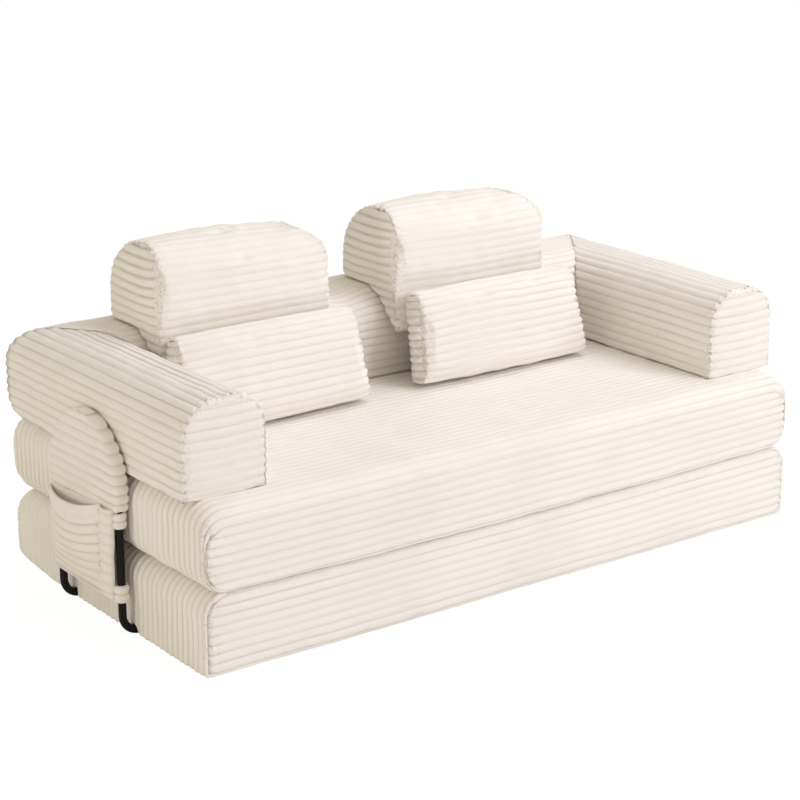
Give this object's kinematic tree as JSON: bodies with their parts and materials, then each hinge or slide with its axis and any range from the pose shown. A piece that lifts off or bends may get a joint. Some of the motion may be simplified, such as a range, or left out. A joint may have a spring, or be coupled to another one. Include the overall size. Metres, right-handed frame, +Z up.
{
  "type": "sleeper sofa",
  "caption": "Floor sleeper sofa in wide-rib corduroy: folding mattress, U of arms and back, hook-over headrests, lumbar pillows and side tube hoops with pockets.",
  "frame": {"origin": "on the floor, under the middle of the sofa's box", "axes": "+Z up, -Y out of the sofa's front, +X to the right hand of someone who looks at the front"},
  "size_m": [1.955, 0.9066, 0.8305],
  "materials": {
    "cream_corduroy": "wide-wale corduroy, brushed pile",
    "seam_welt": "piping covered in the same cloth",
    "foam": "cut polyurethane foam",
    "polyester_filling": "loose polyester fibre",
    "black_tube": "satin powder coat on round steel tube",
    "black_plastic": "moulded polyethylene",
    "zip_tape": "woven polyester tape with nylon coil",
    "zip_metal": "nickel-plated die casting"
  },
  "bodies": {
    "lower_mattress": {"lower_mattress_cover": "cream_corduroy", "lower_mattress_foam": "foam", "lower_mattress_zip_tape": "zip_tape", "hinge_welt": "seam_welt"},
    "lower_mattress_zip_slider": {"lower_mattress_zip_slider": "zip_metal"},
    "upper_mattress": {"upper_mattress_cover": "cream_corduroy", "upper_mattress_foam": "foam", "upper_mattress_zip_tape": "zip_tape"},
    "upper_mattress_zip_slider": {"upper_mattress_zip_slider": "zip_metal"},
    "surround": {"left_arm_cover": "cream_corduroy", "left_arm_foam": "foam", "left_arm_end_panel": "cream_corduroy", "right_arm_cover": "cream_corduroy", "right_arm_foam": "foam", "right_arm_end_panel": "cream_corduroy", "back_cover": "cream_corduroy", "back_foam": "foam", "back_zip_tape": "zip_tape"},
    "back_zip_slider": {"back_zip_slider": "zip_metal"},
    "left_headrest": {"left_headrest_cover": "cream_corduroy", "left_headrest_foam": "foam", "left_headrest_end_panels": "cream_corduroy"},
    "left_lumbar": {"left_lumbar_cover": "cream_corduroy", "left_lumbar_filling": "polyester_filling"},
    "left_hoop": {"left_hoop_tube": "black_tube", "left_hoop_foot_plugs": "black_plastic", "left_sleeve": "cream_corduroy", "left_lower_band": "cream_corduroy", "left_pocket": "cream_corduroy"},
    "right_headrest": {"right_headrest_cover": "cream_corduroy", "right_headrest_foam": "foam", "right_headrest_end_panels": "cream_corduroy"},
    "right_lumbar": {"right_lumbar_cover": "cream_corduroy", "right_lumbar_filling": "polyester_filling"},
    "right_hoop": {"right_hoop_tube": "black_tube", "right_hoop_foot_plugs": "black_plastic", "right_sleeve": "cream_corduroy", "right_lower_band": "cream_corduroy", "right_pocket": "cream_corduroy"}
  },
  "joints": [
    {"name": "mattress_unfold", "type": "hinge", "parent": "lower_mattress", "child": "upper_mattress", "pos_m": [0, -0.4518, 0.19475], "axis": [1, 0, 0], "range_deg": [0, 180]},
    {"name": "surround_stay_level", "type": "hinge", "parent": "upper_mattress", "child": "surround", "pos_m": [0, 0.455, 0.3895], "axis": [1, 0, 0], "range_deg": [-180, 0]},
    {"name": "left_headrest_lift", "type": "slide", "parent": "surround", "child": "left_headrest", "axis": [0, 0, 1], "range_m": [0, 0.32]},
    {"name": "left_lumbar_take_out", "type": "slide", "parent": "surround", "child": "left_lumbar", "axis": [0, -0.7071, 0.7071], "range_m": [0, 0.35]},
    {"name": "left_hoop_pull_out", "type": "slide", "parent": "lower_mattress", "child": "left_hoop", "axis": [-1, 0, 0], "range_m": [0, 0.4]},
    {"name": "right_headrest_lift", "type": "slide", "parent": "surround", "child": "right_headrest", "axis": [0, 0, 1], "range_m": [0, 0.32]},
    {"name": "right_lumbar_take_out", "type": "slide", "parent": "surround", "child": "right_lumbar", "axis": [0, -0.7071, 0.7071], "range_m": [0, 0.35]},
    {"name": "right_hoop_pull_out", "type": "slide", "parent": "lower_mattress", "child": "right_hoop", "axis": [1, 0, 0], "range_m": [0, 0.4]},
    {"name": "lower_mattress_zip_open", "type": "slide", "parent": "lower_mattress", "child": "lower_mattress_zip_slider", "axis": [-1, 0, 0], "range_m": [0, 1.482]},
    {"name": "upper_mattress_zip_open", "type": "slide", "parent": "upper_mattress", "child": "upper_mattress_zip_slider", "axis": [-1, 0, 0], "range_m": [0, 1.482]},
    {"name": "back_zip_open", "type": "slide", "parent": "surround", "child": "back_zip_slider", "axis": [-1, 0, 0], "range_m": [0, 1.162]}
  ],
  "couplings": [
    {"joint": "surround_stay_level", "follows": "mattress_unfold", "ratio": -1}
  ]
}
